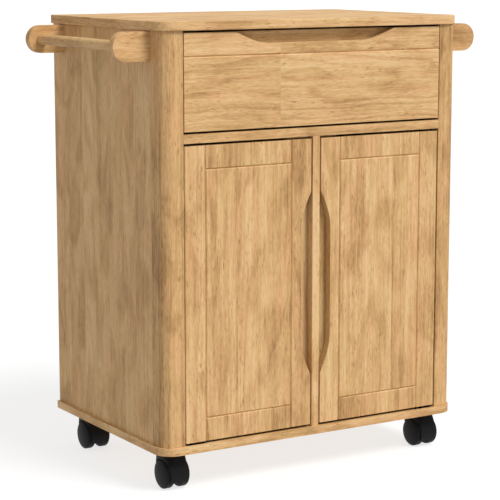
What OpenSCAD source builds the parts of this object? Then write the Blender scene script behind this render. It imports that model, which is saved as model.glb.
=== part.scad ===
// Kitchen island cart: a pine cabinet on four casters, with one drawer, two doors and two towel rails.
// Origin at the centre of its footprint on the floor. +X is to the right, +Y to the back, +Z up.

/* [Overall] */
// Width of the worktop
cart_w = 600; // [520:10:700]
// Depth of the worktop
cart_d = 400; // [390:2:440]
// Height of the worktop above the floor
cart_h = 776; // [740:4:900]
// Thickness of the pine boards
board_t = 15; // [15:0.5:18]
// Thickness of the bottom board
bottom_board_t = 13; // [13:0.5:18]
// Overhang of the worktop and the bottom board past the body
overhang = 5; // [2:0.5:10]
// Radius of the front corners of the worktop and the bottom board
board_corner_r = 32; // [15:1:35]

/* [Corner posts] */
// Side of the square corner post
post_side = 39; // [36:1:44]
// Radius of the post's outer corner
post_r = 21; // [12:1:24]

/* [Drawer] */
// Height of the drawer opening
drawer_open_h = 166; // [160:0.5:190]
// Height of the strip above the groove in the drawer front
drawer_strip_h = 38.5; // [34:0.5:44]
// Gap above and below the drawer front
drawer_gap = 3.6; // [2.5:0.1:4.5]
// Thickness of the drawer box boards
box_t = 12; // [10:0.5:14]
// Length of the drawer slides
slide_len = 330; // [300:10:340]

/* [Doors] */
// Width of the mullion between the doors
mullion_w = 14; // [12:1:20]
// Gap above and below each door
door_gap = 4.2; // [3:0.1:4.5]
// Gap between a door and the mullion
mullion_gap = 2.9; // [2:0.1:3.5]
// Gap between a door and its corner post
hinge_gap = 1.5; // [1.4:0.1:2]
// Width of the door stiles and rails
frame_w = 39; // [36:1:46]
// Depth of the V groove at each door joint
v_depth = 2; // [1:0.25:2.5]

/* [Finger scoops] */
// Length of each scoop along its edge
scoop_len = 315; // [280:5:340]
// Depth of each scoop
scoop_depth = 19.5; // [14:0.5:22]
// Length of each curved end of a scoop
scoop_ramp = 65; // [50:1:80]

/* [Towel rails] */
// Height of the towel rail brackets
bracket_h = 48; // [44:1:56]
// Distance from the worktop down to the brackets
bracket_drop = 1.5; // [0:0.5:6]
// Distance from the body to the towel rail's axis
rail_reach = 42.5; // [36:0.5:50]
// Diameter of the towel rails
rail_d = 18.5; // [16:0.5:22]

/* [Casters] */
// Height of the casters from the floor to the bottom board
caster_h = 66; // [66:1:80]
// Distance from the side of the bottom board to the swivel axis
caster_inset_x = 42; // [42:1:60]
// Distance from the front or back of the bottom board to the swivel axis
caster_inset_y = 54; // [48:1:70]
// Diameter of the caster wheels
wheel_d = 50; // [46:1:50]
// Distance from the swivel axis forward to the wheels' axle
caster_trail = 6; // [5:1:10]

/* [Hidden] */
$fn = 64;

LEFT = -1;
RIGHT = 1;
FRONT = -1;
REAR = 1;
CUT = 1;

pine = "burlywood";
pine_light = "navajowhite";
steel = "silver";
dark_steel = "#3a3632";
brass = "goldenrod";
black_nylon = "#262626";
white_nylon = "whitesmoke";

// Clear distance between a piece and the hole it is fixed in
fixed_clear = 0.05;
// Radial clearance of a running fit
running_clear = 0.06;

// Screws: two sizes, each with a cross-shaped slot
small_head_r = 3;
small_shank_r = 1.5;
wood_head_r = 4;
wood_shank_r = 2;
slot_share = 0.55;
slot_w = 0.8;
slot_depth = 1;

// Carcass planes
front_y = -cart_d / 2 + overhang;
back_y = cart_d / 2;
outer_x = cart_w / 2 - overhang;
inner_x = outer_x - board_t;
post_x = outer_x - post_side;
post_back_y = front_y + post_side;
floor_z = caster_h + bottom_board_t;
ceiling_z = cart_h - board_t;
divider_top = ceiling_z - drawer_open_h;
divider_z = divider_top - board_t;
back_t = 12;
back_in_y = back_y - back_t;
back_screw_x = 200;
back_screw_len = 32;

// Doors and drawer front lie flush with the posts
leaf_back_y = front_y + board_t;
door_z0 = floor_z + door_gap;
door_z1 = divider_z - door_gap;
door_mid_z = (door_z0 + door_z1) / 2;
door_x0 = mullion_w / 2 + mullion_gap;
door_x1 = post_x - hinge_gap;
handle_joint_x = door_x0 + frame_w;
hinge_joint_x = door_x1 - frame_w;
low_joint_z = door_z0 + frame_w;
high_joint_z = door_z1 - frame_w;
groove_depth = 7;
groove_w = 5;
tongue_len = 6.5;
tongue_w = 4.8;
tongue_gap = 1;
door_mid_y = front_y + board_t / 2;

// Points along each curved end of a scoop
scoop_steps = 12;

// Board behind the mullion, which the doors close against
stop_gap = 0.5;
stop_half_w = 50;
stop_y = leaf_back_y + stop_gap;

// Door pivots: a leaf let into the board, a shouldered pin, and a flanged bush in the door
pivot_in = 5.5;
pivot_x = door_x1 - pivot_in;
pivot_y = front_y + pivot_in;
pivot_pin_r = 2;
pivot_pin_len = 11;
bush_r = 3.2;
bush_len = 12;
bush_flange_r = 5;
bush_flange_t = 0.8;
door_corner_r = 3;
leaf_t = 1.5;
leaf_half_w = 4;
leaf_len = 34;
leaf_z = floor_z - leaf_t;
leaf_screw_x = [14, 27];
leaf_screw_len = 11;
shoulder_r = 3.6;
shoulder_t = door_gap - bush_flange_t - 0.2;

// Shelf and its pins
shelf_z = (floor_z + divider_z - board_t) / 2;
shelf_front_y = post_back_y + 8;
pin_r = 2.5;
pin_ys = [-110, 150];
pin_row_step = 32;
pin_z = shelf_z - pin_r - fixed_clear;
pin_depth = 8;
pin_reach = 12;
pin_collar_r = 3.5;
pin_collar_t = 0.9;
shelf_side_gap = 1;
shelf_back_gap = 2;

// Drawer box
slide_t = 12.7;
slide_z = divider_top + 50.5;
box_x = post_x - slide_t;
box_in_x = box_x - box_t;
box_z0 = divider_top + 15.5;
box_z1 = ceiling_z - 25;
box_back_z1 = ceiling_z - 30;
box_back_y = leaf_back_y + slide_len + 13;
box_bottom_z = box_z0 + 10;
bottom_t = 5;
bottom_in = 5;
drawer_z0 = divider_top + drawer_gap;
drawer_z1 = ceiling_z - drawer_gap;
drawer_joint_z = drawer_z1 - drawer_strip_h;
front_screw_x = 190;
front_screw_z = [box_z0 + 32, box_z1 - 24];
front_screw_len = 22;

// Drawer slides
slide_y0 = leaf_back_y + 3;
sheet_t = 1.2;
channel_h = 35;
runner_h = 20.4;
channel_deep = 10;
ball_r = 2.75;
ball_z = 13.25;
ball_x = post_x - 6;
ball_clear = 0.15;
cage_t = 0.8;
cage_len = 96;
cage_y0 = slide_y0 + (slide_len - cage_len) / 2;
cage_x = post_x - 2.4;
cage_in_x = ball_x - 3.8;
ball_pitch = 20;
ball_count = 5;
slide_screw_y = [34, slide_len - 22];
channel_screw_len = 16;
runner_screw_len = 11;
spacer_h = 40;

// Towel rails
rail_x = outer_x + rail_reach;
rail_z = ceiling_z - bracket_drop - bracket_h / 2;
bracket_front_y = post_back_y;
bracket_rear_y = back_y - 42;
rail_socket = 9;
bracket_screw_z = 12;
bracket_screw_len = 32;

// Casters
swivel_x = cart_w / 2 - caster_inset_x;
swivel_y = cart_d / 2 - caster_inset_y;
wheel_r = wheel_d / 2;
axle_r = 2.5;
axle_half = 17;
web_half = 3.5;
wheel_y = -caster_trail;
wheel_in_x = 4.5;
wheel_tread_x = [10.5, 18.5];
wheel_out_x = 25;
hood_half = 16.5;
hood_skin = 1.8;
hood_clear = 0.8;
hood_low_z = 13;
hood_rear_z = wheel_r + 15;
web_low_z = 14;
web_lap = 0.5;
cup_r = 22.5;
cup_t = 4;
hood_top_z = caster_h - 1;
wheel_inner_r = 16;
wheel_steps = 10;
recess_in_r = 8;
recess_out_r = 14.5;
recess_end_x = 13;
rib_count = 10;
rib_t = 1.2;
rib_x = wheel_in_x + 1.5;
stem_r = 4;
stem_collar_r = 8.5;
stem_collar_t = 3;
stem_low_z = wheel_d + 3.5;
stem_in_board = 10;
nut_r = 6;
nut_len = 11;

// Box between two opposite corners
module block(low, high) {
    translate(low)
        cube(high - low);
}

// Draws the right-hand piece, or its mirror image on the left
module on_side(side) {
    if (side == LEFT)
        mirror([1, 0, 0]) children();
    else
        children();
}

// Flips a piece from the bottom of the door opening to its top
module upside_down() {
    translate([0, 0, floor_z + divider_z])
        mirror([0, 0, 1]) children();
}

// Cylinder along +X from a point
module along_x(at, r, len) {
    translate(at)
        rotate([0, 90, 0])
            cylinder(r = r, h = len);
}

// Cylinder along +Y from a point
module along_y(at, r, len) {
    translate(at)
        rotate([-90, 0, 0])
            cylinder(r = r, h = len);
}

// Countersunk screw pointing along +Z, its slotted head flush with z = 0; grow makes the hole for it
module screw(len, head_r, shank_r, grow = 0) {
    difference() {
        union() {
            cylinder(r1 = head_r + grow, r2 = shank_r + grow, h = head_r - shank_r);
            cylinder(r = shank_r + grow, h = len + grow);
        }
        if (grow == 0)
            for (turn = [0, 90])
                rotate([0, 0, turn])
                    block([-slot_share * head_r, -slot_w / 2, -CUT],
                          [slot_share * head_r, slot_w / 2, slot_depth]);
    }
    if (grow > 0)
        translate([0, 0, -CUT])
            cylinder(r = head_r + grow, h = CUT + 0.01);
}

module small_screw(len, grow) {
    screw(len, small_head_r, small_shank_r, grow);
}

module wood_screw(len, grow) {
    screw(len, wood_head_r, wood_shank_r, grow);
}

// V groove cutters on the front face: along Z at x, and along X at z
module v_outline() {
    polygon([[-v_depth - CUT, -CUT], [v_depth + CUT, -CUT], [0, v_depth]]);
}

module v_upright(x, z0, z1) {
    translate([x, front_y, z0])
        linear_extrude(z1 - z0) v_outline();
}

module v_level(z, x0, x1) {
    translate([x0, front_y, z])
        rotate([0, 90, 0])
            linear_extrude(x1 - x0) v_outline();
}

// Depth of a scoop at a distance from its middle: straight, with a quarter sine at each end
function scoop_at(u) = scoop_depth * sin(90 * min(1, (scoop_len / 2 - abs(u)) / scoop_ramp));
scoop_end = [for (i = [0:scoop_steps]) -scoop_len / 2 + scoop_ramp * i / scoop_steps];
scoop_us = concat(scoop_end, [for (i = [scoop_steps:-1:0]) -scoop_end[i]]);

// Outline of a scoop cut into an edge along the second axis, opening towards -X
module scoop_outline() {
    polygon(concat(
        [[-CUT, -scoop_len / 2 - 2 * CUT]],
        [for (u = scoop_us) [scoop_at(u), u]],
        [[-CUT, scoop_len / 2 + 2 * CUT]]
    ));
}

// Outline of the worktop and the bottom board, with round front corners
module board_outline() {
    half_w = cart_w / 2;
    half_d = cart_d / 2;
    translate([-half_w, -half_d + board_corner_r])
        square([cart_w, cart_d - board_corner_r]);
    translate([-half_w + board_corner_r, -half_d])
        square([cart_w - 2 * board_corner_r, board_corner_r]);
    for (side = [LEFT, RIGHT])
        translate([side * (half_w - board_corner_r), -half_d + board_corner_r])
            circle(board_corner_r);
}

module top_board() {
    color(pine_light)
        translate([0, 0, ceiling_z])
            linear_extrude(board_t) board_outline();
}

module bottom_board() {
    color(pine)
        difference() {
            translate([0, 0, caster_h])
                linear_extrude(bottom_board_t) board_outline();
            for (x = [-swivel_x, swivel_x], y = [-swivel_y, swivel_y])
                translate([x, y, caster_h - CUT])
                    cylinder(r = nut_r + fixed_clear, h = nut_len + CUT + fixed_clear);
            lower_leaf_recesses();
            lower_leaf_screws(fixed_clear);
        }
}

// Screws of the hinge leaves in the bottom board
module lower_leaf_screws(grow) {
    for (side = [LEFT, RIGHT])
        on_side(side)
            for (dx = leaf_screw_x)
                translate([pivot_x - dx, pivot_y, floor_z])
                    mirror([0, 0, 1]) small_screw(leaf_screw_len, grow);
}

// Screws of the hinge leaves in the underside of the divider board
module upper_leaf_screws(grow) {
    upside_down()
        lower_leaf_screws(grow);
}

// Screws that hold the towel rail brackets, driven from inside the cabinet
module bracket_screws(side, grow) {
    on_side(side)
        for (y = [bracket_front_y, bracket_rear_y], dz = [-bracket_screw_z, bracket_screw_z])
            translate([inner_x, y + board_t / 2, rail_z + dz])
                rotate([0, 90, 0]) wood_screw(bracket_screw_len, grow);
}

// Screws that hold the slide channels on their spacers
module channel_screws(side, grow) {
    on_side(side)
        for (dy = slide_screw_y)
            translate([post_x - sheet_t, slide_y0 + dy, slide_z])
                rotate([0, 90, 0]) small_screw(channel_screw_len, grow);
}

// Screws that hold the back panel on the divider board
module back_screws(grow) {
    for (x = [-back_screw_x, 0, back_screw_x])
        translate([x, back_y, divider_z + board_t / 2])
            rotate([90, 0, 0]) wood_screw(back_screw_len, grow);
}

module side_panel(side) {
    color(pine)
        difference() {
            on_side(side)
                block([inner_x, post_back_y, floor_z], [outer_x, back_y, ceiling_z]);
            bracket_screws(side, fixed_clear);
            on_side(side)
                for (y = pin_ys, step = [-1, 0, 1])
                    along_x([inner_x - CUT, y, pin_z + step * pin_row_step], pin_r + fixed_clear,
                            pin_depth + CUT + fixed_clear);
        }
}

module corner_post(side) {
    color(pine)
        on_side(side)
            translate([post_x, front_y, floor_z])
                linear_extrude(ceiling_z - floor_z) {
                    square([post_side - post_r, post_side]);
                    translate([0, post_r])
                        square([post_side, post_side - post_r]);
                    intersection() {
                        square(post_side);
                        translate([post_side - post_r, post_r])
                            circle(post_r);
                    }
                }
}

module back_panel() {
    color(pine)
        difference() {
            block([-inner_x, back_in_y, floor_z], [inner_x, back_y, ceiling_z]);
            back_screws(fixed_clear);
        }
}

module divider_board() {
    color(pine)
        difference() {
            block([-inner_x, front_y, divider_z], [inner_x, back_in_y, divider_top]);
            for (side = [LEFT, RIGHT])
                on_side(side)
                    block([post_x, front_y - CUT, divider_z - CUT],
                          [inner_x + CUT, post_back_y, divider_top + CUT]);
            upside_down()
                lower_leaf_recesses();
            upper_leaf_screws(fixed_clear);
            back_screws(fixed_clear);
        }
}

module mullion() {
    color(pine)
        block([-mullion_w / 2, front_y, floor_z], [mullion_w / 2, stop_y, divider_z]);
}

module door_stop_board() {
    color(pine)
        block([-stop_half_w, stop_y, floor_z], [stop_half_w, stop_y + board_t, divider_z]);
}

module shelf() {
    color(pine)
        block([-inner_x + shelf_side_gap, shelf_front_y, shelf_z],
              [inner_x - shelf_side_gap, back_in_y - shelf_back_gap, shelf_z + board_t]);
}

// Steel pins with a collar that rests on the side panel
module shelf_pins() {
    color(steel)
        for (side = [LEFT, RIGHT], y = pin_ys)
            on_side(side) {
                along_x([inner_x - pin_reach, y, pin_z], pin_r, pin_reach + pin_depth);
                difference() {
                    along_x([inner_x - pin_collar_t, y, pin_z], pin_collar_r, pin_collar_t);
                    block([inner_x - pin_reach, y - pin_collar_r, pin_z + pin_r],
                          [inner_x + CUT, y + pin_collar_r, pin_z + pin_collar_r + CUT]);
                }
            }
}

// Blocks that bring the slides in line with the corner posts
module slide_spacers() {
    color(pine)
        for (side = [LEFT, RIGHT])
            difference() {
                on_side(side)
                    block([post_x, post_back_y, slide_z - spacer_h / 2],
                          [inner_x, slide_y0 + slide_len, slide_z + spacer_h / 2]);
                channel_screws(side, fixed_clear);
            }
}

// C profile along Y: web on the x = 0 side and flanges towards -X
module c_profile(deep, tall, len) {
    block([-sheet_t, 0, -tall / 2], [0, len, tall / 2]);
    for (z = [-tall / 2, tall / 2 - sheet_t])
        block([-deep, 0, z], [0, len, z + sheet_t]);
}

// Fixed outer members of the drawer slides
module slide_channels() {
    color(steel)
        for (side = [LEFT, RIGHT])
            difference() {
                on_side(side)
                    translate([post_x, slide_y0, slide_z])
                        c_profile(channel_deep, channel_h, slide_len);
                channel_screws(side, fixed_clear);
            }
}

// Screws that hold the runners on the drawer sides
module runner_screws(side, grow) {
    on_side(side)
        for (dy = slide_screw_y)
            translate([box_x + sheet_t, slide_y0 + dy, slide_z])
                rotate([0, -90, 0]) small_screw(runner_screw_len, grow);
}

// Moving inner members of the drawer slides
module drawer_runners() {
    color(steel)
        for (side = [LEFT, RIGHT])
            difference() {
                on_side(side)
                    translate([box_x, slide_y0, slide_z])
                        mirror([1, 0, 0]) c_profile(channel_deep, runner_h, slide_len);
                runner_screws(side, fixed_clear);
            }
}

// Ball retainers: a strip with a flange above and below, and a row of balls in each flange
module ball_cages() {
    first_y = (cage_len - (ball_count - 1) * ball_pitch) / 2;
    for (side = [LEFT, RIGHT])
        on_side(side)
            translate([0, cage_y0, slide_z]) {
                color(white_nylon)
                    difference() {
                        union() {
                            block([cage_x, 0, -ball_z - cage_t / 2],
                                  [cage_x + cage_t, cage_len, ball_z + cage_t / 2]);
                            for (z = [-ball_z, ball_z])
                                block([cage_in_x, 0, z - cage_t / 2],
                                      [cage_x + cage_t, cage_len, z + cage_t / 2]);
                        }
                        for (i = [0:ball_count - 1], z = [-ball_z, ball_z])
                            translate([ball_x, first_y + i * ball_pitch, z - CUT])
                                cylinder(r = ball_r + ball_clear, h = 2 * CUT);
                    }
                color(steel)
                    for (i = [0:ball_count - 1], z = [-ball_z, ball_z])
                        translate([ball_x, first_y + i * ball_pitch, z])
                            sphere(r = ball_r);
            }
}

// Hinge leaf in the bottom board, with a round end about the pivot; grow makes the recess for it
module lower_leaf_blank(grow = 0) {
    half_w = leaf_half_w + grow;
    translate([0, 0, leaf_z])
        linear_extrude(grow == 0 ? leaf_t : leaf_t + CUT) {
            translate([pivot_x, pivot_y])
                circle(half_w);
            translate([pivot_x - leaf_len - grow, pivot_y - half_w])
                square([leaf_len + grow, 2 * half_w]);
        }
}

module lower_leaf_recesses() {
    for (side = [LEFT, RIGHT])
        on_side(side) lower_leaf_blank(fixed_clear);
}

module lower_leaf() {
    difference() {
        lower_leaf_blank();
        translate([pivot_x, pivot_y, leaf_z - CUT])
            cylinder(r = pivot_pin_r + fixed_clear, h = leaf_t + 2 * CUT);
    }
}

module hinge_leaves() {
    color(dark_steel)
        difference() {
            for (side = [LEFT, RIGHT])
                on_side(side) {
                    lower_leaf();
                    upside_down()
                        lower_leaf();
                }
            lower_leaf_screws(fixed_clear);
            upper_leaf_screws(fixed_clear);
        }
}

// Shouldered pin that stands up from a leaf into the door's bush
module lower_pin() {
    translate([pivot_x, pivot_y, leaf_z])
        cylinder(r = pivot_pin_r, h = leaf_t + shoulder_t + pivot_pin_len);
    translate([pivot_x, pivot_y, floor_z])
        cylinder(r = shoulder_r, h = shoulder_t);
}

module hinge_pins() {
    color(dark_steel)
        for (side = [LEFT, RIGHT])
            on_side(side) {
                lower_pin();
                upside_down()
                    lower_pin();
            }
}

// Flanged bush in the lower end of the hinge stile
module lower_bush() {
    translate([pivot_x, pivot_y, door_z0])
        difference() {
            union() {
                cylinder(r = bush_r, h = bush_len);
                translate([0, 0, -bush_flange_t])
                    cylinder(r = bush_flange_r, h = bush_flange_t);
            }
            translate([0, 0, -CUT - bush_flange_t])
                cylinder(r = pivot_pin_r + running_clear, h = bush_len + bush_flange_t + 2 * CUT);
        }
}

module door_pivot_bushes(side) {
    color(black_nylon)
        on_side(side) {
            lower_bush();
            upside_down()
                lower_bush();
        }
}

module door_hinge_stile(side) {
    color(pine)
        on_side(side)
            difference() {
                translate([0, 0, door_z0])
                    linear_extrude(door_z1 - door_z0) {
                        translate([hinge_joint_x, front_y])
                            square([frame_w - door_corner_r, board_t]);
                        translate([hinge_joint_x, front_y + door_corner_r])
                            square([frame_w, board_t - door_corner_r]);
                        translate([door_x1 - door_corner_r, front_y + door_corner_r])
                            circle(door_corner_r);
                    }
                v_upright(hinge_joint_x, door_z0 - CUT, door_z1 + CUT);
                block([hinge_joint_x - CUT, door_mid_y - groove_w / 2, door_z0 - CUT],
                      [hinge_joint_x + groove_depth, door_mid_y + groove_w / 2, door_z1 + CUT]);
                for (z = [door_z0 - CUT, door_z1 - bush_len - CUT])
                    translate([pivot_x, pivot_y, z])
                        cylinder(r = bush_r + fixed_clear, h = bush_len + 2 * CUT);
            }
}

module door_handle_stile(side) {
    color(pine)
        on_side(side)
            difference() {
                block([door_x0, front_y, door_z0], [handle_joint_x, leaf_back_y, door_z1]);
                v_upright(handle_joint_x, door_z0 - CUT, door_z1 + CUT);
                block([handle_joint_x - groove_depth, door_mid_y - groove_w / 2, door_z0 - CUT],
                      [handle_joint_x + CUT, door_mid_y + groove_w / 2, door_z1 + CUT]);
                translate([door_x0, leaf_back_y + CUT, door_mid_z])
                    rotate([90, 0, 0])
                        linear_extrude(board_t + 2 * CUT) scoop_outline();
            }
}

// Rail between the stiles, from z0 to z1, with a tongue at each end and a groove on the panel side
module door_rail(side, z0, z1, joint_z) {
    tongue_z0 = joint_z == z0 ? z0 + groove_depth + tongue_gap : z0;
    tongue_z1 = joint_z == z1 ? z1 - groove_depth - tongue_gap : z1;
    color(pine)
        on_side(side)
            difference() {
                union() {
                    block([handle_joint_x, front_y, z0], [hinge_joint_x, leaf_back_y, z1]);
                    block([handle_joint_x - tongue_len, door_mid_y - tongue_w / 2, tongue_z0],
                          [hinge_joint_x + tongue_len, door_mid_y + tongue_w / 2, tongue_z1]);
                }
                v_upright(handle_joint_x, z0 - CUT, z1 + CUT);
                v_upright(hinge_joint_x, z0 - CUT, z1 + CUT);
                v_level(joint_z, handle_joint_x - CUT, hinge_joint_x + CUT);
                block([handle_joint_x - CUT, door_mid_y - groove_w / 2, joint_z - groove_depth],
                      [hinge_joint_x + CUT, door_mid_y + groove_w / 2, joint_z + groove_depth]);
            }
}

// Flush panel with a tongue on all four edges
module door_panel(side) {
    color(pine_light)
        on_side(side)
            difference() {
                union() {
                    block([handle_joint_x, front_y, low_joint_z],
                          [hinge_joint_x, leaf_back_y, high_joint_z]);
                    block([handle_joint_x - tongue_len, door_mid_y - tongue_w / 2, low_joint_z],
                          [hinge_joint_x + tongue_len, door_mid_y + tongue_w / 2, high_joint_z]);
                    block([handle_joint_x + 0.2, door_mid_y - tongue_w / 2, low_joint_z - tongue_len],
                          [hinge_joint_x - 0.2, door_mid_y + tongue_w / 2, high_joint_z + tongue_len]);
                }
                v_upright(handle_joint_x, low_joint_z - CUT, high_joint_z + CUT);
                v_upright(hinge_joint_x, low_joint_z - CUT, high_joint_z + CUT);
                v_level(low_joint_z, handle_joint_x - CUT, hinge_joint_x + CUT);
                v_level(high_joint_z, handle_joint_x - CUT, hinge_joint_x + CUT);
            }
}

// Screws from the box front into the drawer front
module front_screws(grow) {
    for (x = [-front_screw_x, front_screw_x], z = front_screw_z)
        translate([x, leaf_back_y + box_t, z])
            rotate([90, 0, 0]) wood_screw(front_screw_len, grow);
}

module drawer_front() {
    color(pine)
        difference() {
            block([-door_x1, front_y, drawer_z0], [door_x1, leaf_back_y, drawer_z1]);
            v_level(drawer_joint_z, -door_x1 - CUT, door_x1 + CUT);
            translate([0, leaf_back_y + CUT, drawer_z1])
                rotate([90, 90, 0])
                    linear_extrude(board_t + 2 * CUT) scoop_outline();
            front_screws(fixed_clear);
        }
}

// Space of the drawer bottom in the grooves of its frame
module bottom_groove() {
    reach = bottom_in + 0.2;
    block([-box_in_x - reach, leaf_back_y + box_t - reach, box_bottom_z - fixed_clear],
          [box_in_x + reach, box_back_y - box_t + reach, box_bottom_z + bottom_t + fixed_clear]);
}

module drawer_box_front() {
    color(pine)
        difference() {
            block([-box_in_x, leaf_back_y, box_z0], [box_in_x, leaf_back_y + box_t, drawer_z1]);
            bottom_groove();
            front_screws(fixed_clear);
        }
}

module drawer_side(side) {
    color(pine)
        difference() {
            on_side(side)
                block([box_in_x, leaf_back_y, box_z0], [box_x, box_back_y, box_z1]);
            bottom_groove();
            runner_screws(side, fixed_clear);
        }
}

module drawer_back() {
    color(pine)
        difference() {
            block([-box_in_x, box_back_y - box_t, box_z0], [box_in_x, box_back_y, box_back_z1]);
            bottom_groove();
        }
}

module drawer_bottom() {
    color(pine_light)
        block([-box_in_x - bottom_in, leaf_back_y + box_t - bottom_in, box_bottom_z],
              [box_in_x + bottom_in, box_back_y - box_t + bottom_in, box_bottom_z + bottom_t]);
}

module drawer_screws() {
    color(steel) {
        front_screws(0);
        for (side = [LEFT, RIGHT])
            runner_screws(side, 0);
    }
}

module carcass_screws() {
    color(steel) {
        lower_leaf_screws(0);
        upper_leaf_screws(0);
        back_screws(0);
        for (side = [LEFT, RIGHT]) {
            bracket_screws(side, 0);
            channel_screws(side, 0);
        }
    }
}

// Bracket with a half-round end; socket_y is where its blind socket for the rail begins
module rail_bracket(y0, socket_y) {
    difference() {
        translate([0, y0 + board_t, 0])
            rotate([90, 0, 0])
                linear_extrude(board_t) {
                    translate([outer_x, rail_z - bracket_h / 2])
                        square([rail_x - outer_x, bracket_h]);
                    translate([rail_x, rail_z])
                        circle(bracket_h / 2);
                }
        along_y([rail_x, socket_y, rail_z], rail_d / 2 + fixed_clear, rail_socket + CUT);
    }
}

module rail_brackets(side) {
    color(pine)
        difference() {
            on_side(side) {
                rail_bracket(bracket_front_y, bracket_front_y + board_t - rail_socket);
                rail_bracket(bracket_rear_y, bracket_rear_y - CUT);
            }
            bracket_screws(side, fixed_clear);
        }
}

module towel_rail(side) {
    start_y = bracket_front_y + board_t - rail_socket + fixed_clear;
    end_y = bracket_rear_y + rail_socket - fixed_clear;
    color(pine_light)
        on_side(side)
            along_y([rail_x, start_y, rail_z], rail_d / 2, end_y - start_y);
}

// Steel stems: threaded end in the board, collar, and journal for the caster
module caster_stems() {
    color(steel)
        for (x = [-swivel_x, swivel_x], y = [-swivel_y, swivel_y])
            translate([x, y, 0]) {
                translate([0, 0, stem_low_z])
                    cylinder(r = stem_r, h = caster_h + stem_in_board - stem_low_z);
                translate([0, 0, caster_h - stem_collar_t])
                    cylinder(r = stem_collar_r, h = stem_collar_t);
            }
}

// Threaded inserts in the bottom board
module insert_nuts() {
    color(brass)
        for (x = [-swivel_x, swivel_x], y = [-swivel_y, swivel_y])
            translate([x, y, caster_h])
                difference() {
                    cylinder(r = nut_r, h = nut_len);
                    translate([0, 0, -CUT])
                        cylinder(r = stem_r + fixed_clear, h = nut_len + 2 * CUT);
                }
}

// Places a caster's piece with its swivel axis at the origin
module at_caster(side, end) {
    translate([side * swivel_x, end * swivel_y, 0]) children();
}

// Hood and web of one caster, with room for the two wheels
module caster_housing(side, end) {
    wheel_room_r = wheel_r + hood_clear;
    cut_x = cup_r + CUT;
    color(black_nylon)
        at_caster(side, end)
            difference() {
                union() {
                    difference() {
                        hull() {
                            translate([0, 0, hood_top_z - cup_t])
                                cylinder(r = cup_r, h = cup_t, $fn = 40);
                            translate([-hood_half, wheel_y, wheel_r])
                                rotate([0, 90, 0])
                                    cylinder(r = wheel_room_r + hood_skin, h = 2 * hood_half, $fn = 40);
                        }
                        along_x([-cut_x, wheel_y, wheel_r], wheel_room_r, 2 * cut_x);
                        block([-cut_x, -wheel_d, -wheel_d], [cut_x, wheel_d, hood_low_z]);
                        block([-cut_x, wheel_y, -wheel_d], [cut_x, 2 * wheel_d, hood_rear_z]);
                    }
                    intersection() {
                        along_x([-web_half, wheel_y, wheel_r], wheel_room_r + web_lap, 2 * web_half);
                        block([-cup_r, -wheel_d, web_low_z], [cup_r, 2 * wheel_d, 2 * wheel_d]);
                    }
                }
                along_x([-web_half - CUT, wheel_y, wheel_r], axle_r + fixed_clear,
                        2 * (web_half + CUT));
                translate([0, 0, stem_low_z - 1])
                    cylinder(r = stem_r + running_clear, h = caster_h);
                translate([0, 0, caster_h - stem_collar_t - 0.5])
                    cylinder(r = stem_collar_r + 1, h = caster_h);
            }
}

module caster_axle(side, end) {
    color(steel)
        at_caster(side, end)
            along_x([-axle_half, wheel_y, wheel_r], axle_r, 2 * axle_half);
}

// Half profile of a wheel: round-edged inner face, flat tread, domed outer face. Y is along the axle.
function wheel_dome(t) = [wheel_r * cos(t), wheel_tread_x[1] + (wheel_out_x - wheel_tread_x[1]) * sin(t)];
function wheel_bevel(t) = [
    wheel_inner_r + (wheel_r - wheel_inner_r) * cos(t),
    wheel_tread_x[0] - (wheel_tread_x[0] - wheel_in_x) * sin(t)
];

// One wheel of a pair, with a ribbed recess on its inner side
module caster_wheel(side, end, wheel_side) {
    color(black_nylon)
        at_caster(side, end)
            translate([0, wheel_y, wheel_r])
                on_side(wheel_side)
                    rotate([0, 90, 0])
                        difference() {
                            rotate_extrude()
                                polygon(concat(
                                    [[0, wheel_in_x]],
                                    [for (i = [wheel_steps:-1:0]) wheel_bevel(90 * i / wheel_steps)],
                                    [for (i = [0:wheel_steps]) wheel_dome(90 * i / wheel_steps)]
                                ));
                            cylinder(r = axle_r + running_clear, h = axle_half + 0.6);
                            difference() {
                                cylinder(r = recess_out_r, h = recess_end_x);
                                cylinder(r = recess_in_r, h = recess_end_x + CUT);
                                for (i = [0:rib_count - 1])
                                    rotate([0, 0, i * 360 / rib_count])
                                        block([recess_in_r - CUT, -rib_t / 2, rib_x],
                                              [recess_out_r + CUT, rib_t / 2, recess_end_x + CUT]);
                            }
                        }
}

top_board();
bottom_board();
side_panel(LEFT);  // side_panel_left
side_panel(RIGHT);  // side_panel_right
corner_post(LEFT);  // corner_post_left
corner_post(RIGHT);  // corner_post_right
back_panel();
divider_board();
mullion();
door_stop_board();
shelf();
shelf_pins();
slide_spacers();
slide_channels();
hinge_leaves();
hinge_pins();
rail_brackets(LEFT);  // rail_brackets_left
rail_brackets(RIGHT);  // rail_brackets_right
towel_rail(LEFT);  // towel_rail_left
towel_rail(RIGHT);  // towel_rail_right
caster_stems();
insert_nuts();
carcass_screws();
drawer_front();
drawer_box_front();
drawer_side(LEFT);  // drawer_side_left
drawer_side(RIGHT);  // drawer_side_right
drawer_back();
drawer_bottom();
drawer_runners();
drawer_screws();
ball_cages();
door_hinge_stile(LEFT);  // left_door_hinge_stile
door_handle_stile(LEFT);  // left_door_handle_stile
door_rail(LEFT, high_joint_z, door_z1, high_joint_z);  // left_door_top_rail
door_rail(LEFT, door_z0, low_joint_z, low_joint_z);  // left_door_bottom_rail
door_panel(LEFT);  // left_door_panel
door_pivot_bushes(LEFT);  // left_door_pivot_bushes
door_hinge_stile(RIGHT);  // right_door_hinge_stile
door_handle_stile(RIGHT);  // right_door_handle_stile
door_rail(RIGHT, high_joint_z, door_z1, high_joint_z);  // right_door_top_rail
door_rail(RIGHT, door_z0, low_joint_z, low_joint_z);  // right_door_bottom_rail
door_panel(RIGHT);  // right_door_panel
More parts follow.
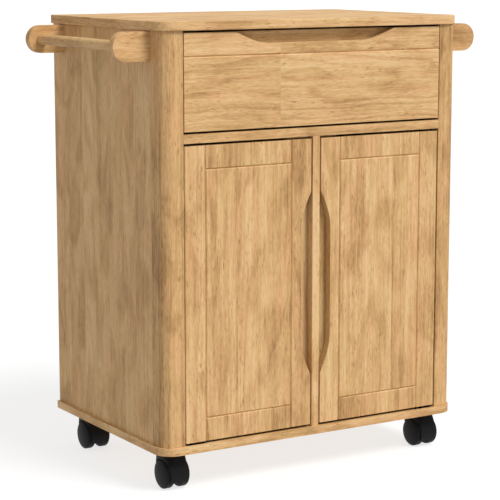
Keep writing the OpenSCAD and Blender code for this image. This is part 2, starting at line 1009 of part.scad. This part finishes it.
door_pivot_bushes(RIGHT);  // right_door_pivot_bushes
caster_housing(LEFT, FRONT);  // caster_front_left_housing
caster_axle(LEFT, FRONT);  // caster_front_left_axle
caster_wheel(LEFT, FRONT, LEFT);  // caster_front_left_wheel_left
caster_wheel(LEFT, FRONT, RIGHT);  // caster_front_left_wheel_right
caster_housing(RIGHT, FRONT);  // caster_front_right_housing
caster_axle(RIGHT, FRONT);  // caster_front_right_axle
caster_wheel(RIGHT, FRONT, LEFT);  // caster_front_right_wheel_left
caster_wheel(RIGHT, FRONT, RIGHT);  // caster_front_right_wheel_right
caster_housing(LEFT, REAR);  // caster_rear_left_housing
caster_axle(LEFT, REAR);  // caster_rear_left_axle
caster_wheel(LEFT, REAR, LEFT);  // caster_rear_left_wheel_left
caster_wheel(LEFT, REAR, RIGHT);  // caster_rear_left_wheel_right
caster_housing(RIGHT, REAR);  // caster_rear_right_housing
caster_axle(RIGHT, REAR);  // caster_rear_right_axle
caster_wheel(RIGHT, REAR, LEFT);  // caster_rear_right_wheel_left
caster_wheel(RIGHT, REAR, RIGHT);  // caster_rear_right_wheel_right
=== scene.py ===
"""Looks of the kitchen island cart: pine boards, nylon casters, metal fittings, light and camera."""

import math
import random

import bpy
from mathutils import Euler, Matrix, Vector


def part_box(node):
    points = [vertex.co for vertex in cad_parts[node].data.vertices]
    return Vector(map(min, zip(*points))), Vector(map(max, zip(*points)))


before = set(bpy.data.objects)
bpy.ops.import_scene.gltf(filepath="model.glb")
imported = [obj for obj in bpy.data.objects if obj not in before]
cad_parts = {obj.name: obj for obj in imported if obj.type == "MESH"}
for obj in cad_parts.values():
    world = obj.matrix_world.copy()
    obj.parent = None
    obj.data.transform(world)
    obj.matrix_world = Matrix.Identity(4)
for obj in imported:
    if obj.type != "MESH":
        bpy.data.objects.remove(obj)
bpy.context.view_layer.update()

MM = 0.001
AXES = "XYZ"

# Colours are linear. Pine runs from its palest early wood to its darkest late wood,
# and leans to yellow or to red.
PINE_TONES = ((0.0, (0.925, 0.625, 0.315)), (0.33, (0.80, 0.485, 0.215)), (0.66, (0.62, 0.355, 0.145)),
              (1.0, (0.40, 0.215, 0.085)))
YELLOW_TINT = (0.99, 1.015, 0.98)
RED_TINT = (1.01, 0.965, 0.97)
FLECK_COLOUR = (0.30, 0.14, 0.045)


# ----------------------------------------------------------------------------------------------------
# Shader building

class Shader:
    """A material whose nodes are added by short calls. Each call returns the new node's output socket."""

    def __init__(self, name):
        self.material = bpy.data.materials.new(name)
        self.material.use_nodes = True
        self.tree = self.material.node_tree
        self.surface = self.tree.nodes["Principled BSDF"]

    def node(self, kind, **settings):
        node = self.tree.nodes.new("ShaderNode" + kind)
        for key, value in settings.items():
            setattr(node, key, value)
        return node

    def plug(self, socket, value):
        """Links another node's output to the socket, or sets the socket's own value."""
        if isinstance(value, bpy.types.NodeSocket):
            self.tree.links.new(value, socket)
        else:
            socket.default_value = value

    def math(self, operation, *values, clamp=False):
        node = self.node("Math", operation=operation, use_clamp=clamp)
        for socket, value in zip(node.inputs, values):
            self.plug(socket, value)
        return node.outputs[0]

    def add(self, *values):
        total = values[0]
        for value in values[1:]:
            total = self.math("ADD", total, value)
        return total

    def times(self, a, b):
        return self.math("MULTIPLY", a, b)

    def vector(self, operation, *values):
        node = self.node("VectorMath", operation=operation)
        for socket, value in zip(node.inputs, values):
            self.plug(socket, value)
        return node.outputs["Value" if operation == "LENGTH" else "Vector"]

    def split(self, vector):
        node = self.node("SeparateXYZ")
        self.plug(node.inputs[0], vector)
        return tuple(node.outputs)

    def join(self, x, y, z):
        node = self.node("CombineXYZ")
        for socket, value in zip(node.inputs, (x, y, z)):
            self.plug(socket, value)
        return node.outputs[0]

    def remap(self, value, low, high, to_low=0.0, to_high=1.0, smooth=False):
        node = self.node("MapRange", interpolation_type="SMOOTHSTEP" if smooth else "LINEAR")
        for socket, setting in zip(node.inputs, (value, low, high, to_low, to_high)):
            self.plug(socket, setting)
        return node.outputs[0]

    def noise(self, where, detail=2.0, roughness=0.5, distortion=0.0, colour=False):
        """Noise with features one unit long; where is already scaled."""
        node = self.node("TexNoise")
        self.plug(node.inputs["Vector"], where)
        node.inputs["Scale"].default_value = 1.0
        node.inputs["Detail"].default_value = detail
        node.inputs["Roughness"].default_value = roughness
        node.inputs["Distortion"].default_value = distortion
        return node.outputs["Color" if colour else "Fac"]

    def random(self, value):
        node = self.node("TexWhiteNoise", noise_dimensions="1D")
        self.plug(node.inputs["W"], value)
        return node.outputs["Value"]

    def ramp(self, value, stops, interpolation="LINEAR"):
        """Colour ramp with stops of (place, colour); returns the node."""
        node = self.node("ValToRGB")
        ramp = node.color_ramp
        ramp.interpolation = interpolation
        while len(ramp.elements) < len(stops):
            ramp.elements.new(1.0)
        for element, (place, colour) in zip(ramp.elements, stops):
            element.position = place
            element.color = (*colour, 1.0) if len(colour) == 3 else colour
        self.plug(node.inputs[0], value)
        return node

    def mix(self, factor, a, b, blend="MIX"):
        node = self.node("Mix", data_type="RGBA", blend_type=blend)
        self.plug(node.inputs["Factor"], factor)
        colours = [s for s in node.inputs if s.type == "RGBA"]
        for socket, value in zip(colours, (a, b)):
            self.plug(socket, (*value, 1.0) if isinstance(value, tuple) else value)
        return [s for s in node.outputs if s.type == "RGBA"][0]

    def bump(self, height, distance, strength=1.0):
        node = self.node("Bump")
        node.inputs["Distance"].default_value = distance
        node.inputs["Strength"].default_value = strength
        self.plug(node.inputs["Height"], height)
        self.tree.links.new(node.outputs[0], self.surface.inputs["Normal"])

    def millimetres(self):
        """The piece's own coordinates at rest, in millimetres."""
        where = self.node("TexCoord").outputs["Object"]
        return self.vector("MULTIPLY", where, (1000.0, 1000.0, 1000.0))

    def finish(self, colour=None, roughness=None, **fixed):
        if colour is not None:
            self.plug(self.surface.inputs["Base Color"], colour)
        if roughness is not None:
            self.plug(self.surface.inputs["Roughness"], roughness)
        for name, value in fixed.items():
            self.surface.inputs[name.replace("_", " ")].default_value = value
        return self.material


# ----------------------------------------------------------------------------------------------------
# Pine

def stave_stops(edges, dice):
    """Ramp stops for glued strips: a strip's random numbers as its colour, and its middle as alpha."""
    bounds = [0.0, *edges, 1.0]
    return [(start, (dice.random(), dice.random(), dice.random(), (start + end) / 2))
            for start, end in zip(bounds, bounds[1:])]


def even_edges(count, dice, jitter=0.3):
    """Inner edges of count strips of uneven width, as shares of the board."""
    return [(i + jitter * (dice.random() - 0.5)) / count for i in range(1, count)]


def pine(piece, grain, face, staves=1, edges=None, blocks=(), gap=5.0, pith=(20.0, 80.0), lean=0.05,
         wander=14.0, tone=0.0, ring=0.22, streak=1.0, blotch=0.36, fleck=0.7, swirl=(70.0, 300.0),
         long_ends=False):
    """Pine for one board. The grain runs along one axis and its wide face looks along another.

    staves or edges cut it into glued strips and blocks into lengths, each with its own figure. gap is the
    spacing of its rings, pith the least and most depth of their centre behind the face, and wander how far
    the rings stray sideways over a swirl's width and length, in millimetres. ring, streak, blotch and
    fleck say how strongly each shows. long_ends turns the figure of the end faces so that it runs along them.
    """
    dice = random.Random(piece)
    low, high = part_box(piece)
    low, high = low / MM, high / MM
    g, f = AXES.index(grain), AXES.index(face)
    a = 3 - g - f
    shader = Shader("pine_" + piece)
    axes = shader.split(shader.millimetres())
    across, depth, along = axes[a], axes[f], axes[g]
    if long_ends:
        facing = shader.split(shader.node("TexCoord").outputs["Normal"])[g]
        end = shader.math("GREATER_THAN", shader.math("ABSOLUTE", facing), 0.7)
        across, depth, along = (shader.remap(end, 0.0, 1.0, usual, turned) for usual, turned in
                                ((across, depth), (depth, along), (along, across)))

    # Each strip, and each length of it, has random numbers of its own
    if edges is None:
        edges = even_edges(staves, dice)
    strip = shader.ramp(shader.remap(across, low[a], high[a]), stave_stops(edges, dice), "CONSTANT")
    strip_colour, middle = strip.outputs
    length = shader.ramp(shader.remap(along, low[g], high[g]), stave_stops(blocks, dice), "CONSTANT")
    own = shader.vector("FRACTION", shader.vector("ADD", strip_colour, length.outputs[0]))
    own_a, own_b, own_c = shader.split(own)
    shift = shader.vector("MULTIPLY", own, (310.0, 170.0, 2300.0))
    place = shader.vector("ADD", shader.join(across, depth, along), shift)

    def stretched(width, run, seed=0.0):
        scaled = shader.vector("MULTIPLY", place, (1 / width, 1 / width, 1 / run))
        return shader.vector("ADD", scaled, (seed, seed, seed))

    def swing(width, run, seed, size, detail=2.0):
        """Noise that swings by size either way."""
        return shader.remap(shader.noise(stretched(width, run, seed), detail=detail), 0.32, 0.68, -size, size)

    # Rings are shells about a wandering pith line behind the face
    warp_noise = shader.noise(stretched(*swirl), detail=2.0, colour=True)
    warp = shader.vector("SUBTRACT", warp_noise, (0.5, 0.5, 0.5))
    warp_a, warp_b, _ = shader.split(warp)
    centre = shader.remap(middle, 0.0, 1.0, low[a], high[a])
    side = shader.remap(own_a, 0.0, 1.0, -30.0, 30.0)
    ring_u = shader.add(shader.math("SUBTRACT", across, centre), side, shader.times(warp_a, wander))
    rise = shader.times(shader.math("SUBTRACT", along, (low[g] + high[g]) / 2),
                        shader.remap(own_c, 0.0, 1.0, -lean, lean))
    pith_depth = shader.remap(own_b, 0.0, 1.0, low[f] + pith[0], low[f] + pith[1])
    ring_v = shader.add(shader.math("SUBTRACT", depth, pith_depth), rise, shader.times(warp_b, wander))
    radius_now = shader.vector("LENGTH", shader.join(ring_u, ring_v, 0.0))
    ragged = shader.math("SUBTRACT", shader.noise(stretched(9.0, 60.0, 3.0), detail=2.0), 0.5)
    phase = shader.math("DIVIDE", shader.add(radius_now, shader.times(ragged, gap * 0.8)), gap)
    late = shader.ramp(shader.math("FRACT", phase),
                       ((0.0, (0.25,) * 3), (0.12, (0.0,) * 3), (0.5, (0.12,) * 3), (0.88, (1.0,) * 3),
                        (1.0, (0.25,) * 3)), "EASE").outputs[0]
    ring_weight = shader.remap(shader.random(shader.math("FLOOR", phase)), 0.0, 1.0, 0.25, 1.0)
    rings = shader.times(late, ring_weight)

    # Streaks, blotches, fibres and short resin flecks follow the grain
    streaks = shader.add(swing(15.0, 700.0, 11.0, 0.13), swing(5.0, 170.0, 37.0, 0.13, detail=3.0),
                         swing(2.6, 50.0, 13.0, 0.09, detail=3.0))
    blotches = shader.remap(shader.noise(stretched(50.0, 110.0, 17.0), detail=2.0, distortion=0.8),
                            0.40, 0.72, smooth=True)
    hue = shader.remap(shader.noise(stretched(24.0, 150.0, 19.0), detail=2.0), 0.35, 0.65)
    fibres = swing(1.6, 12.0, 23.0, 1.0)
    fleck_here = shader.remap(shader.noise(stretched(2.1, 13.0, 29.0), detail=1.0), 0.58, 0.76)
    fleck_there = shader.remap(shader.noise(stretched(24.0, 60.0, 31.0), detail=1.0), 0.38, 0.6)
    flecks = shader.times(shader.times(fleck_here, fleck_there), fleck)

    shade = shader.add(shader.times(rings, ring), shader.times(streaks, streak),
                       shader.times(blotches, blotch), shader.times(fibres, 0.14),
                       shader.remap(own_c, 0.0, 1.0, 0.16 + tone, 0.32 + tone))
    wood = shader.ramp(shade, PINE_TONES, "LINEAR").outputs[0]
    tinted = shader.mix(1.0, wood, shader.mix(hue, YELLOW_TINT, RED_TINT), "MULTIPLY")
    colour = shader.mix(flecks, tinted, FLECK_COLOUR)

    height = shader.add(shader.times(fibres, 0.3), shader.times(rings, -0.5), shader.times(flecks, -0.6))
    shader.bump(height, distance=0.12 * MM)
    roughness = shader.remap(shader.add(shade, shader.times(fibres, 0.1)), 0.0, 1.0, 0.46, 0.62)
    return shader.finish(colour, roughness, Specular_IOR_Level=0.2)


# ----------------------------------------------------------------------------------------------------
# Other materials

def moulded_nylon(name, colour, lift, roughness):
    """Moulded nylon with a fine spark-eroded grain and faint flow marks."""
    shader = Shader(name)
    where = shader.millimetres()
    grain = shader.noise(shader.vector("MULTIPLY", where, (2.2, 2.2, 2.2)), detail=2.0, roughness=0.6)
    flow = shader.noise(shader.vector("MULTIPLY", where, (0.06, 0.06, 0.03)), detail=3.0, distortion=0.8)
    tint = shader.mix(flow, colour, lift)
    rough = shader.remap(shader.add(grain, flow), 0.5, 1.5, roughness - 0.06, roughness + 0.08)
    shader.bump(grain, distance=0.05 * MM)
    return shader.finish(tint, rough, Specular_IOR_Level=0.16)


def black_steel(name):
    """Black oxide on steel: near black, with a dull film."""
    shader = Shader(name)
    film = shader.noise(shader.vector("MULTIPLY", shader.millimetres(), (0.4, 0.4, 0.4)), detail=4.0)
    tint = shader.mix(film, (0.020, 0.019, 0.018), (0.045, 0.041, 0.037))
    shader.bump(film, distance=0.02 * MM)
    return shader.finish(tint, shader.remap(film, 0.3, 0.7, 0.38, 0.55), Metallic=0.6)


def zinc_steel(name):
    """Zinc-plated steel: faint drawing lines, dull patches and a little yellow in places."""
    shader = Shader(name)
    where = shader.millimetres()
    lines = shader.noise(shader.vector("MULTIPLY", where, (4.0, 0.08, 4.0)), detail=3.0)
    patch = shader.noise(shader.vector("MULTIPLY", where, (0.12, 0.12, 0.12)), detail=4.0, roughness=0.6)
    tint = shader.mix(patch, (0.50, 0.51, 0.53), (0.68, 0.67, 0.63))
    rough = shader.remap(shader.add(shader.times(lines, 0.5), patch), 0.4, 1.1, 0.24, 0.46)
    shader.bump(lines, distance=0.02 * MM)
    return shader.finish(tint, rough, Metallic=1.0)


def brass(name):
    """Turned brass with fine rings and a dull film."""
    shader = Shader(name)
    where = shader.millimetres()
    turned = shader.noise(shader.vector("MULTIPLY", where, (0.3, 0.3, 7.0)), detail=2.0)
    film = shader.noise(shader.vector("MULTIPLY", where, (0.2, 0.2, 0.2)), detail=4.0)
    tint = shader.mix(film, (0.62, 0.42, 0.14), (0.78, 0.58, 0.26))
    rough = shader.remap(film, 0.3, 0.7, 0.22, 0.4)
    shader.bump(turned, distance=0.02 * MM)
    return shader.finish(tint, rough, Metallic=1.0)


# ----------------------------------------------------------------------------------------------------
# Edges

def ease(node, width, segments=2, angle=30.0):
    """Rounds a CAD piece's sharp edges by modifiers, and shades it smooth."""
    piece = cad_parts[node]
    for polygon in piece.data.polygons:
        polygon.use_smooth = True
    weld = piece.modifiers.new("weld", "WELD")
    weld.merge_threshold = 0.002 * MM
    flat = piece.modifiers.new("flat", "DECIMATE")
    flat.decimate_type = "DISSOLVE"
    flat.angle_limit = math.radians(0.5)
    bevel = piece.modifiers.new("ease", "BEVEL")
    bevel.width = width * MM
    bevel.segments = segments
    bevel.limit_method = "ANGLE"
    bevel.angle_limit = math.radians(angle)
    bevel.miter_outer = "MITER_ARC"
    normals = piece.modifiers.new("normals", "WEIGHTED_NORMAL")
    normals.keep_sharp = False


def wear(node, material, width=None, segments=2, angle=30.0):
    """Gives a CAD piece its material, and eased edges where width says how far."""
    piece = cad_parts[node]
    piece.data.materials.clear()
    piece.data.materials.append(material)
    if width:
        ease(node, width, segments, angle)


# ----------------------------------------------------------------------------------------------------
# The cart's boards

# How far the boards' edges are eased, in millimetres: free edges, edges of a frame, and fitted joints
SLAB = 1.2
EDGE = 0.8
FRAME = 0.5
JOINT = 0.4
wear("top_board", pine("top_board", "X", "Z", staves=8, gap=5.5, tone=-0.15, ring=0.26, long_ends=True),
     SLAB, 3)
wear("bottom_board", pine("bottom_board", "X", "Z", staves=8, gap=5.5, long_ends=True), SLAB, 3)
for side in ("left", "right"):
    panel = "side_panel_" + side
    wear(panel, pine(panel, "Z", "X", staves=7, gap=6.5, streak=0.42, fleck=0.2), FRAME)
    wear("corner_post_" + side, pine("corner_post_" + side, "Z", "Y", gap=5.0, tone=0.16), FRAME)
    wear("rail_brackets_" + side, pine("rail_brackets_" + side, "X", "Y", gap=3.5), EDGE)
    wear("towel_rail_" + side, pine("towel_rail_" + side, "Y", "Z", gap=3.0, ring=0.2), 0.3)
    wear("drawer_side_" + side, pine("drawer_side_" + side, "Y", "X", staves=2), EDGE)
wear("back_panel", pine("back_panel", "Z", "Y", staves=9), FRAME)
wear("divider_board", pine("divider_board", "X", "Z", staves=7), FRAME)
wear("mullion", pine("mullion", "Z", "Y", tone=-0.18), JOINT)
wear("door_stop_board", pine("door_stop_board", "Z", "Y", staves=2), EDGE)
wear("shelf", pine("shelf", "X", "Z", staves=6), EDGE)
wear("slide_spacers", pine("slide_spacers", "Y", "X"), JOINT)
wear("drawer_front", pine("drawer_front", "X", "Y", edges=[0.40, 0.767], blocks=(0.358,), gap=8.0,
                          tone=-0.05, ring=0.36, blotch=0.18, wander=46.0, swirl=(60.0, 330.0)), EDGE)
wear("drawer_box_front", pine("drawer_box_front", "X", "Y", staves=2), EDGE)
wear("drawer_back", pine("drawer_back", "X", "Y", staves=2), EDGE)
wear("drawer_bottom", pine("drawer_bottom", "X", "Z", staves=5), 0.3)
for door, stile_tone, panel_tone in (("left_door_", -0.10, 0.04), ("right_door_", 0.0, -0.05)):
    wear(door + "hinge_stile", pine(door + "hinge_stile", "Z", "Y", tone=stile_tone), FRAME)
    wear(door + "handle_stile", pine(door + "handle_stile", "Z", "Y"), 0.6)
    wear(door + "top_rail", pine(door + "top_rail", "Z", "Y", staves=4), JOINT)
    wear(door + "bottom_rail", pine(door + "bottom_rail", "Z", "Y", staves=4), JOINT)
    wear(door + "panel", pine(door + "panel", "Z", "Y", staves=3, tone=panel_tone), JOINT)

# Metal and nylon pieces
steel = zinc_steel("zinc_steel")
for node in ("shelf_pins", "slide_channels", "caster_stems", "carcass_screws", "drawer_runners",
             "drawer_screws"):
    wear(node, steel, 0.15)
oxide = black_steel("black_steel")
for node in ("hinge_leaves", "hinge_pins"):
    wear(node, oxide, 0.15)
wear("insert_nuts", brass("brass"), 0.3)
white = moulded_nylon("white_nylon", (0.78, 0.78, 0.74), (0.84, 0.83, 0.79), 0.42)
wear("ball_cages", white)
black = moulded_nylon("black_nylon", (0.004, 0.004, 0.0043), (0.006, 0.006, 0.0064), 0.5)
for door in ("left_door_", "right_door_"):
    wear(door + "pivot_bushes", black, 0.2)
for end in ("front", "rear"):
    for side in ("left", "right"):
        caster = f"caster_{end}_{side}_"
        wear(caster + "housing", black, 0.5, 2, 40.0)
        wear(caster + "axle", steel, 0.3)
        for wheel in ("wheel_left", "wheel_right"):
            wear(caster + wheel, black, 0.3, 2, 40.0)


# ----------------------------------------------------------------------------------------------------
# Floor, light and camera

def studio_floor(radius=60.0):
    """Pale floor out to the horizon. It glows a little, which keeps the shadow on it light."""
    bpy.ops.mesh.primitive_circle_add(vertices=64, radius=radius, fill_type="NGON", location=(0, 0, 0))
    floor = bpy.context.object
    floor.name = "studio_floor"
    shader = Shader("studio_floor")
    mottle = shader.noise(shader.vector("MULTIPLY", shader.millimetres(), (0.01, 0.01, 0.01)), detail=3.0)
    colour = shader.mix(mottle, (0.30, 0.30, 0.30), (0.33, 0.33, 0.33))
    material = shader.finish(colour, Roughness=0.9, Specular_IOR_Level=0.1, Emission_Strength=0.74,
                             Emission_Color=(1.0, 1.0, 1.0, 1.0))
    floor.data.materials.append(material)
    floor.visible_diffuse = False


def white_surround(strength):
    world = bpy.data.worlds.new("studio")
    world.use_nodes = True
    background = world.node_tree.nodes["Background"]
    background.inputs["Color"].default_value = (1.0, 1.0, 1.0, 1.0)
    background.inputs["Strength"].default_value = strength
    bpy.context.scene.world = world


def key_light(strength, elevation, right_of_front, softness):
    """A broad soft sun in front and above; angles are in degrees."""
    lamp = bpy.data.lights.new("key", "SUN")
    lamp.energy = strength
    lamp.angle = math.radians(softness)
    key = bpy.data.objects.new("key", lamp)
    key.rotation_euler = Euler((math.radians(90 - elevation), 0, math.radians(right_of_front)))
    bpy.context.scene.collection.objects.link(key)


def photo_camera():
    """A camera in front and to the left, looking a little down on the cart."""
    data = bpy.data.cameras.new("camera")
    data.lens = 130.48
    data.sensor_width = 36.0
    data.clip_end = 200.0
    camera = bpy.data.objects.new("camera", data)
    camera.location = (-1.6809, -2.7210, 0.8841)
    camera.rotation_euler = Euler((math.radians(80.6706), 0, math.radians(-31.531)))
    bpy.context.scene.collection.objects.link(camera)
    bpy.context.scene.camera = camera


studio_floor()
white_surround(0.45)
key_light(strength=0.726 * math.pi, elevation=50.0, right_of_front=24.0, softness=25.0)
photo_camera()
bpy.context.scene.view_settings.view_transform = "Standard"
bpy.context.scene.cycles.diffuse_bounces = 1
